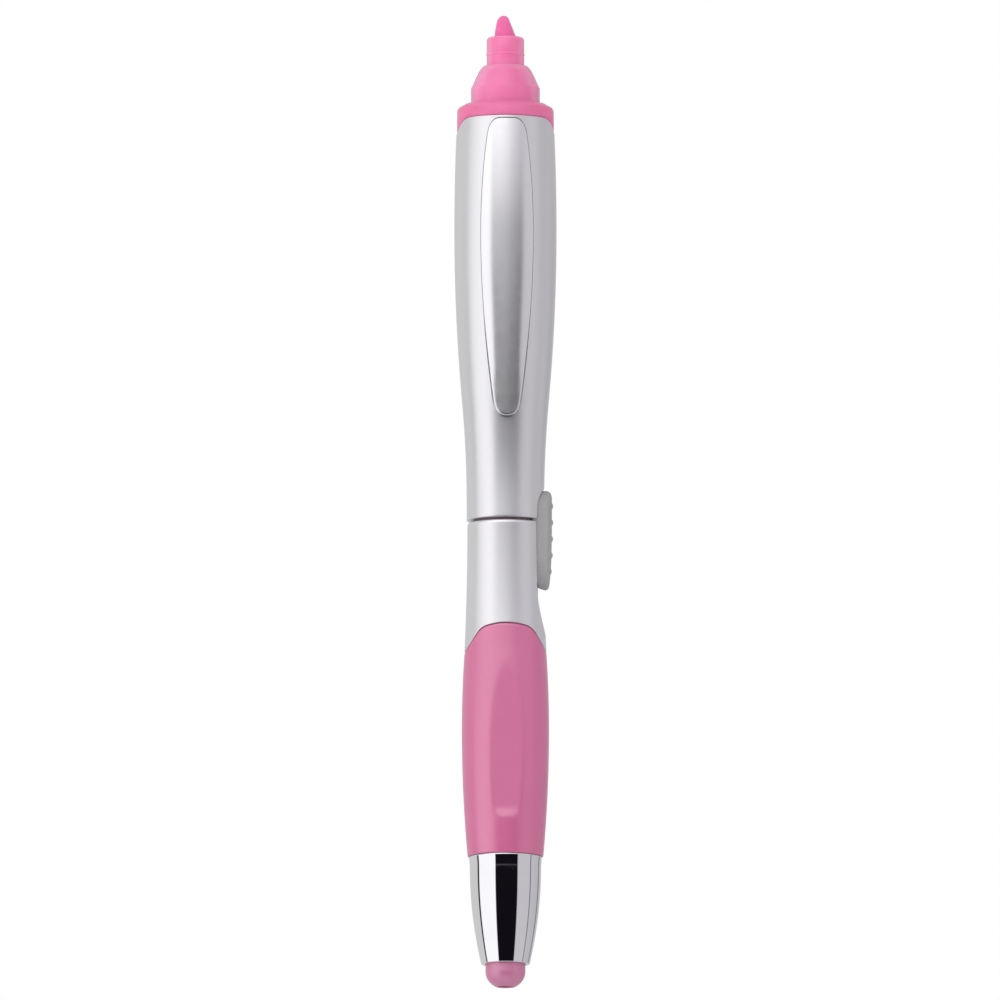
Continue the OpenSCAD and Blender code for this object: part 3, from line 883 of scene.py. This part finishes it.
def make_nib():
    """Chisel nib: each slice is a rounded box that follows the nib's front and side outlines."""
    tip = NIB_TOP
    front_z = np.array([-3.2, -2.8, -2.2, -1.5, -1.0, -0.6, -0.33, -0.15, -0.05, -0.006])
    right = np.array([1.65, 1.49, 1.23, 0.93, 0.71, 0.54, 0.4, 0.22, 0.06, -0.15])
    left = np.array([-1.65, -1.64, -1.56, -1.44, -1.36, -1.22, -1.06, -0.85, -0.66, -0.46])
    side_z = np.array([-3.0, -2.2, -1.3, -0.9, -0.5, -0.2, -0.006])
    side_right = np.array([1.65, 1.6, 1.18, 0.8, 0.25, -0.35, -0.8])
    side_left = np.array([-1.65, -1.65, -1.6, -1.55, -1.46, -1.32, -1.1])
    shank = [NIB_LOW - tip, -8.0, -4.2]
    crest = [-0.22, -0.15, -0.09, -0.045, -0.015, -0.006]
    heights = np.concatenate([shank, np.linspace(-3.4, -0.3, 34), crest])
    turns = np.linspace(0, 2 * PI, 96, endpoint=False)
    lines = []
    for h in heights:
        x0, x1 = np.interp(h, front_z, left), np.interp(h, front_z, right)
        y0, y1 = np.interp(h, side_z, side_left), np.interp(h, side_z, side_right)
        power = 2.0 + 1.2 * float(smooth(-3.2, -0.8, h))
        c, s = np.cos(turns), np.sin(turns)
        x = (x0 + x1) / 2 + (x1 - x0) / 2 * np.sign(c) * np.abs(c) ** (2 / power)
        y = (y0 + y1) / 2 + (y1 - y0) / 2 * np.sign(s) * np.abs(s) ** (2 / power)
        lines.append(np.stack([x, y, np.full_like(x, tip + h)], 1))
    soup = Soup()
    soup.rings(lines, closed=True)
    soup.polygon(lines[0])
    soup.polygon(lines[-1])
    return soup.make("chisel_nib")


# ------------ materials


def feed(socket, value):
    """Gives a socket another node's output, or a number, vector or colour."""
    if hasattr(value, "links"):
        socket.id_data.links.new(value, socket)
    else:
        socket.default_value = value


def add_node(tree, kind, inputs=None, **settings):
    made = tree.nodes.new(kind)
    for key, value in settings.items():
        setattr(made, key, value)
    for key, value in (inputs or {}).items():
        feed(made.inputs[key], value)
    return made


class Paint:
    """A procedural material: one shader that noise in object space gives colour, roughness and surface."""

    def __init__(self, name, color, roughness, **sockets):
        self.material = bpy.data.materials.new(name)
        self.material.use_nodes = True
        self.material.node_tree.nodes.clear()
        self.color = (*color, 1)
        self.roughness = roughness
        inputs = {key.replace("_", " "): value for key, value in sockets.items()}
        inputs.update({"Base Color": self.color, "Roughness": roughness})
        self.shader = self.node("ShaderNodeBsdfPrincipled", inputs)
        self.node("ShaderNodeOutputMaterial", {"Surface": self.shader.outputs["BSDF"]})
        self.coords = self.node("ShaderNodeTexCoord").outputs["Object"]

    def node(self, kind, inputs=None, **settings):
        return add_node(self.material.node_tree, kind, inputs, **settings)

    def noise(self, size_mm, stretch=(1, 1, 1), detail=2.0):
        """Noise with features of about that size, on object coordinates multiplied by the stretch."""
        mapping = self.node("ShaderNodeMapping", {"Scale": stretch, "Vector": self.coords})
        inputs = {"Scale": 1 / (size_mm * MM), "Detail": detail, "Vector": mapping.outputs["Vector"]}
        return self.node("ShaderNodeTexNoise", inputs).outputs["Fac"]

    def ranged(self, value, low_out, high_out, low_in=0.3, high_in=0.7):
        limits = {"From Min": low_in, "From Max": high_in, "To Min": low_out, "To Max": high_out}
        return self.node("ShaderNodeMapRange", {"Value": value, **limits}).outputs["Result"]

    def vary_color(self, value, other, share):
        """Mixes towards another colour where the value is high."""
        base = self.shader.inputs["Base Color"]
        before = base.links[0].from_socket if base.is_linked else self.color
        inputs = {"Factor": self.ranged(value, 0, share), "A": before, "B": (*other, 1)}
        feed(base, self.node("ShaderNodeMix", inputs, data_type="RGBA").outputs["Result"])

    def vary_roughness(self, value, spread):
        varied = self.ranged(value, self.roughness - spread, self.roughness + spread)
        feed(self.shader.inputs["Roughness"], varied)

    def bump(self, value, height_mm, strength):
        normal = self.shader.inputs["Normal"]
        inputs = {"Strength": strength, "Distance": height_mm * MM, "Height": value}
        if normal.is_linked:
            inputs["Normal"] = normal.links[0].from_socket
        feed(normal, self.node("ShaderNodeBump", inputs).outputs["Normal"])

    def rim(self, other, share):
        """Another colour towards the outline, where light passes through the plastic."""
        facing = self.node("ShaderNodeLayerWeight", {"Blend": 0.5}).outputs["Facing"]
        self.vary_color(self.ranged(facing, 0, 1, 0.08, 0.6), other, share)

    def paint_edge_highlight(self, other, share, size_mm=1.5):
        """Painted highlight along edges: another colour where the surface is sharply convex, mixed with
        patchy noise.
        """
        pointed = self.node("ShaderNodeNewGeometry").outputs["Pointiness"]
        edge = self.ranged(pointed, 0, 1, 0.53, 0.6)
        patchy = self.ranged(self.noise(size_mm), 0, 1, 0.45, 0.6)
        both = self.node("ShaderNodeMath", {0: edge, 1: patchy}, operation="MULTIPLY")
        self.vary_color(both.outputs[0], other, share)


def silver_lacquer(name, roughness):
    """Satin silver paint: fine metal flake under a soft sheen."""
    paint = Paint(name, (0.925, 0.922, 0.93), roughness, Metallic=1.0)
    flake = paint.noise(0.11)
    paint.vary_color(flake, (0.95, 0.948, 0.96), 0.6)
    paint.vary_color(paint.noise(9.0), (0.9, 0.895, 0.91), 0.3)
    paint.vary_roughness(paint.noise(1.2, detail=4.0), 0.012)
    paint.bump(flake, 0.0006, 0.4)
    return paint.material


def chrome():
    paint = Paint("nose_chrome", (0.93, 0.93, 0.94), 0.035, Metallic=1.0)
    paint.vary_roughness(paint.noise(1.8, detail=5.0), 0.012)
    paint.bump(paint.noise(2.5, (1, 1, 0.35)), 0.0008, 0.25)
    paint.vary_color(paint.noise(4.0), (0.88, 0.885, 0.9), 0.5)
    return paint.material


def soft_rubber(name, color, dark, roughness, grain=0.09):
    """Soft-touch rubber: a satin skin over a fine moulded grain."""
    paint = Paint(name, color, roughness, Subsurface_Weight=0.1, Subsurface_Scale=0.8 * MM,
                  Subsurface_Radius=(1.0, 0.35, 0.45), Specular_IOR_Level=1.0, IOR=1.95,
                  Sheen_Weight=0.3, Sheen_Roughness=0.35)
    paint.vary_color(paint.noise(5.0, detail=3.0), dark, 0.3)
    paint.vary_color(paint.noise(0.16), dark, 0.12)
    paint.vary_roughness(paint.noise(0.8, detail=4.0), 0.03)
    paint.bump(paint.noise(grain, detail=3.0), 0.003, 0.4)
    return paint.material


def clear_pink():
    """Tinted plastic, glossy and translucent."""
    paint = Paint("pink_clear", (0.865, 0.19, 0.4), 0.12, IOR=1.6, Subsurface_Weight=0.7,
                  Subsurface_Scale=1.6 * MM, Subsurface_Radius=(1.0, 0.4, 0.6))
    paint.vary_color(paint.noise(3.5, (1, 1, 0.5)), (0.9, 0.24, 0.46), 0.5)
    paint.rim((0.96, 0.37, 0.56), 0.6)
    paint.vary_roughness(paint.noise(1.2, detail=4.0), 0.03)
    paint.bump(paint.noise(1.1), 0.004, 0.25)
    return paint.material


def collar_pink():
    paint = Paint("pink_collar", (0.75, 0.17, 0.35), 0.16, IOR=1.49, Subsurface_Weight=0.35,
                  Subsurface_Scale=1.2 * MM, Subsurface_Radius=(1.0, 0.3, 0.5))
    paint.vary_color(paint.noise(3.0), (0.79, 0.2, 0.39), 0.5)
    paint.rim((0.88, 0.19, 0.4), 0.6)
    paint.vary_roughness(paint.noise(1.0, detail=4.0), 0.03)
    paint.bump(paint.noise(0.9), 0.004, 0.2)
    # Painted highlight: lighter pink along the collar's sharp convex edges
    paint.paint_edge_highlight((0.85, 0.4, 0.52), 0.3)
    return paint.material


def nib_felt():
    """Bonded fibre soaked with ink: fine strands along the pen, darker where the ink is thick."""
    paint = Paint("nib_fibre", (0.85, 0.155, 0.4), 0.62, Subsurface_Weight=0.3, Subsurface_Scale=0.6 * MM,
                  Sheen_Weight=0.3)
    strands = paint.noise(0.07, (1, 1, 0.07), 3.0)
    paint.vary_color(strands, (0.88, 0.21, 0.46), 0.6)
    paint.vary_color(paint.noise(0.8, detail=3.0), (0.8, 0.11, 0.33), 0.4)
    paint.bump(strands, 0.02, 0.8)
    paint.bump(paint.noise(0.1), 0.01, 0.5)
    return paint.material


def moulded(name, color, roughness, other, size_mm=0.12, height_mm=0.004, edge_highlight=None, **sockets):
    """Moulded plastic with a fine spark texture, and a painted highlight of another colour along its sharp
    convex edges.
    """
    paint = Paint(name, color, roughness, **sockets)
    paint.vary_color(paint.noise(2.5, detail=3.0), other, 0.5)
    paint.vary_roughness(paint.noise(0.9, detail=4.0), 0.04)
    paint.bump(paint.noise(size_mm, detail=3.0), height_mm, 0.6)
    # An edge colour, if given, is painted on as a highlight along sharp convex edges
    if edge_highlight:
        paint.paint_edge_highlight(edge_highlight, 0.4, 0.8)
    return paint.material


def metal(name, color, other, roughness, stretch=(1, 1, 1), size_mm=0.2):
    """Bare metal with drawn or turned marks."""
    paint = Paint(name, color, roughness, Metallic=1.0)
    marks = paint.noise(size_mm, stretch, 3.0)
    paint.vary_color(marks, other, 0.5)
    paint.vary_roughness(marks, 0.06)
    paint.bump(marks, 0.003, 0.4)
    return paint.material


SILVER = silver_lacquer("silver_lacquer", 0.365)
CLIP_SILVER = silver_lacquer("silver_lacquer_clip", 0.225)
CHROME = chrome()
GRIP_RUBBER = soft_rubber("grip_rubber", (0.62, 0.074, 0.252), (0.57, 0.062, 0.225), 0.36)
TIP_RUBBER = soft_rubber("stylus_rubber", (0.55, 0.12, 0.285), (0.51, 0.105, 0.26), 0.42, 0.05)
CLEAR = clear_pink()
COLLAR = collar_pink()
FELT = nib_felt()
# Lighter grey along the slider's sharp edges is a painted highlight
GREY = moulded("slider_plastic", (0.37, 0.358, 0.364), 0.42, (0.34, 0.33, 0.335), edge_highlight=(0.42, 0.41, 0.42))

# Materials of the pieces that keep the frame's own meshes
CARRIED = {
    # Painted shade: the coupler is darkened so that the seam groove between the barrels reads dark
    "coupler": moulded("coupler_plastic", (0.16, 0.1, 0.125), 0.3, (0.14, 0.085, 0.11)),
    "ink_reservoir": moulded("reservoir_fibre", (0.88, 0.22, 0.47), 0.7, (0.8, 0.14, 0.38), 0.2, 0.02),
    "reservoir_wrap": moulded("wrap_film", (0.9, 0.9, 0.92), 0.15, (0.86, 0.87, 0.9), 0.8, 0.002,
                              Transmission_Weight=0.6),
    "chamber_plug": moulded("plug_plastic", (0.75, 0.75, 0.76), 0.35, (0.7, 0.7, 0.71)),
    "tip_bush": moulded("bush_plastic", (0.8, 0.8, 0.81), 0.3, (0.76, 0.76, 0.78)),
    "return_spring": metal("spring_steel", (0.62, 0.62, 0.64), (0.5, 0.5, 0.53), 0.25, (1, 1, 3), 0.15),
    "refill_tube": moulded("refill_plastic", (0.86, 0.86, 0.87), 0.28, (0.82, 0.82, 0.84),
                           Transmission_Weight=0.3),
    "refill_ink": moulded("ink", (0.02, 0.02, 0.05), 0.15, (0.03, 0.03, 0.07)),
    "refill_tip": metal("tip_brass", (0.72, 0.56, 0.28), (0.62, 0.46, 0.22), 0.22, (1, 1, 14), 0.3),
    "refill_ball": metal("ball_metal", (0.7, 0.7, 0.72), (0.62, 0.62, 0.65), 0.12),
    "refill_carrier": moulded("carrier_plastic", (0.84, 0.84, 0.85), 0.35, (0.8, 0.8, 0.82)),
}

# ------------ pieces


def dress(piece, material, node, body="barrel"):
    """Gives a piece its material, stands it for its CAD node and makes it ride on its body."""
    piece.data.materials.append(material)
    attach(piece, body)
    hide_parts(node)


dress(make_upper_barrel(), SILVER, "upper_barrel")
dress(make_lower_barrel(), SILVER, "lower_barrel")
dress(make_clip(), CLIP_SILVER, "clip", "clip")
dress(make_grip(), GRIP_RUBBER, "grip")
dress(make_nose(), CHROME, "nose_cone")
dress(make_stylus(), TIP_RUBBER, "stylus_tip")
dress(lathe("collar_ring", collar_profile, 288), COLLAR, "collar")
dress(make_nib_section(), CLEAR, "nib_section")
dress(make_nib(), FELT, "highlighter_nib")
dress(make_slider(), GREY, "slider_button", "writer")

for node, material in CARRIED.items():
    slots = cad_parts[node].data.materials
    slots.clear()
    slots.append(material)

# ------------ camera


def toward(turn, tilt):
    """The direction from the pen to something at that turn and tilt."""
    return Vector((math.sin(turn) * math.cos(tilt), -math.cos(turn) * math.cos(tilt), math.sin(tilt)))


VIEW_TURN, VIEW_TILT = math.radians(-2.1), math.radians(-7.5)
VIEW_WIDTH = 0.1502
DISTANCE = 1.0
# The middle of the picture, right of the pen's axis and above its foot
AIM_ACROSS, AIM_UP = -0.00082, 0.07315
VIEW_BACK = toward(VIEW_TURN, VIEW_TILT)
VIEW_ACROSS = Vector((math.cos(VIEW_TURN), math.sin(VIEW_TURN), 0))
VIEW_UP = VIEW_BACK.cross(VIEW_ACROSS)
camera_data = bpy.data.cameras.new("camera")
camera_data.type = "ORTHO"
camera_data.ortho_scale = VIEW_WIDTH
camera_data.clip_start = 0.1
camera_data.clip_end = 20.0
camera = show("camera", camera_data)
camera.location = VIEW_ACROSS * AIM_ACROSS + VIEW_UP * AIM_UP + VIEW_BACK * DISTANCE
camera.rotation_mode = "QUATERNION"
camera.rotation_quaternion = (-VIEW_BACK).to_track_quat("-Z", "Y")
bpy.context.scene.camera = camera

# ------------ light

# Soft boxes and flags round the pen, as (degrees from the clip's side towards the slider, colour)
WHITE = (1.03, 1.015, 1.045)
FLAG = (0.006, 0.0045, 0.0075)
GREY_CARD = (0.57, 0.55, 0.585)
DARK_GAP = (0.02, 0.018, 0.022)
SLIT = (0.2, 0.185, 0.21)
BACK_WALL = (0.62, 0.615, 0.63)
LEVEL = [
    (-180, BACK_WALL), (-105.8, (0.63, 0.625, 0.64)), (-103.6, DARK_GAP), (-98, DARK_GAP),
    (-95.6, WHITE), (-35.6, WHITE), (-34.2, FLAG), (37.3, FLAG), (38.7, GREY_CARD), (84, GREY_CARD),
    (86, SLIT), (88.5, SLIT), (90.5, (0.54, 0.52, 0.555)), (128, (0.5, 0.48, 0.51)), (132, SLIT), (136, SLIT),
    (140, (0.52, 0.5, 0.53)), (180, BACK_WALL),
]
# Overhead: brightest in front, falling off to both sides
OVERHEAD = [
    (-180, (0.62, 0.62, 0.62)), (-110, (0.66, 0.66, 0.66)), (-90, (0.65, 0.645, 0.66)),
    (-60, (1.08, 1.07, 1.09)), (-36, (1.28, 1.27, 1.3)), (-18, (1.37, 1.35, 1.4)),
    (0, (1.24, 1.22, 1.27)), (15, (0.98, 0.96, 1.01)),
    (28, (0.81, 0.79, 0.84)), (40, (0.61, 0.59, 0.63)), (70, (0.65, 0.63, 0.67)), (95, (0.44, 0.425, 0.455)),
    (130, (0.55, 0.53, 0.57)), (180, (0.62, 0.62, 0.62)),
]
FLOOR_GLOW = (0.5, 0.49, 0.5, 1)
# Heights, in degrees, between which one ring of lights gives way to the next
OVERHEAD_FROM, OVERHEAD_TO = 6.4, 10.4
FLOOR_FROM, FLOOR_TO = -26.0, -40.0


def make_world():
    world = bpy.data.worlds.new("studio")
    bpy.context.scene.world = world
    world.use_nodes = True
    world.node_tree.nodes.clear()

    def node(kind, inputs=None, **settings):
        return add_node(world.node_tree, kind, inputs, **settings)

    def math_node(operation, *inputs):
        return node("ShaderNodeMath", dict(enumerate(inputs)), operation=operation).outputs[0]

    direction = node("ShaderNodeTexCoord").outputs["Generated"]
    x, y, z = node("ShaderNodeSeparateXYZ", {0: direction}).outputs
    around = math_node("ARCTAN2", x, math_node("MULTIPLY", y, -1.0))
    share = math_node("MULTIPLY_ADD", around, 1 / (2 * PI), 0.5)
    tilt = math_node("ARCSINE", z)

    def ring(stops):
        """Colours round the pen."""
        ramp = node("ShaderNodeValToRGB", {0: share})
        elements = ramp.color_ramp.elements
        while len(elements) > 1:
            elements.remove(elements[-1])
        for i, (degrees, color) in enumerate(stops):
            position = degrees / 360 + 0.5
            element = elements[0] if i == 0 else elements.new(position)
            element.position = position
            element.color = (*color, 1)
        return ramp.outputs[0]

    def blend(start, stop, one, other):
        """One colour at a starting tilt, and another one from the stopping tilt on."""
        inputs = {"Value": tilt, "From Min": math.radians(start), "From Max": math.radians(stop)}
        between = node("ShaderNodeMapRange", inputs, interpolation_type="SMOOTHSTEP")
        inputs = {"Factor": between.outputs[0], "A": one, "B": other}
        return node("ShaderNodeMix", inputs, data_type="RGBA").outputs["Result"]

    walls = blend(OVERHEAD_FROM, OVERHEAD_TO, ring(LEVEL), ring(OVERHEAD))
    all_round = blend(FLOOR_FROM, FLOOR_TO, walls, FLOOR_GLOW)
    # The camera sees plain white behind the pen in place of the lights
    lit = node("ShaderNodeBackground", {"Color": all_round}).outputs[0]
    seen = node("ShaderNodeBackground", {"Color": (1, 1, 1, 1)}).outputs[0]
    by_camera = node("ShaderNodeLightPath").outputs["Is Camera Ray"]
    chosen = node("ShaderNodeMixShader", {0: by_camera, 1: lit, 2: seen}).outputs[0]
    node("ShaderNodeOutputWorld", {"Surface": chosen})


make_world()


PEN_MIDDLE = Vector((0, 0, 0.07))


def add_softbox(name, turn, tilt, watts, distance=1.2, size=0.7):
    """A lamp that lights matt surfaces without showing in glossy ones, at a turn and tilt in degrees."""
    data = bpy.data.lights.new(name, "AREA")
    data.shape = "DISK"
    data.size = size
    data.energy = watts
    lamp = show(name, data)
    away = toward(math.radians(turn), math.radians(tilt))
    lamp.location = away * distance + PEN_MIDDLE
    lamp.rotation_mode = "QUATERNION"
    lamp.rotation_quaternion = away.to_track_quat("Z", "Y")
    lamp.visible_glossy = False
    lamp.visible_camera = False


add_softbox("front_left", -76.0, 0.0, 2.4)
add_softbox("front", 10.0, 0.0, 3.0)
add_softbox("back_right", 150.0, 20.0, 1.2)


def make_floor():
    """A plain pale floor, well below the low camera."""
    mesh = bpy.data.meshes.new("floor")
    half, z = 6.0, -0.45
    corners = [(-half, -half, z), (half, -half, z), (half, half, z), (-half, half, z)]
    mesh.from_pydata(corners, [], [(0, 1, 2, 3)])
    floor = show("floor", mesh)
    paint = Paint("floor_paper", (0.92, 0.92, 0.92), 0.8)
    paint.vary_color(paint.noise(400.0), (0.9, 0.9, 0.9), 0.5)
    mesh.materials.append(paint.material)
    floor.visible_glossy = False


make_floor()
bpy.context.scene.view_settings.view_transform = "Standard"
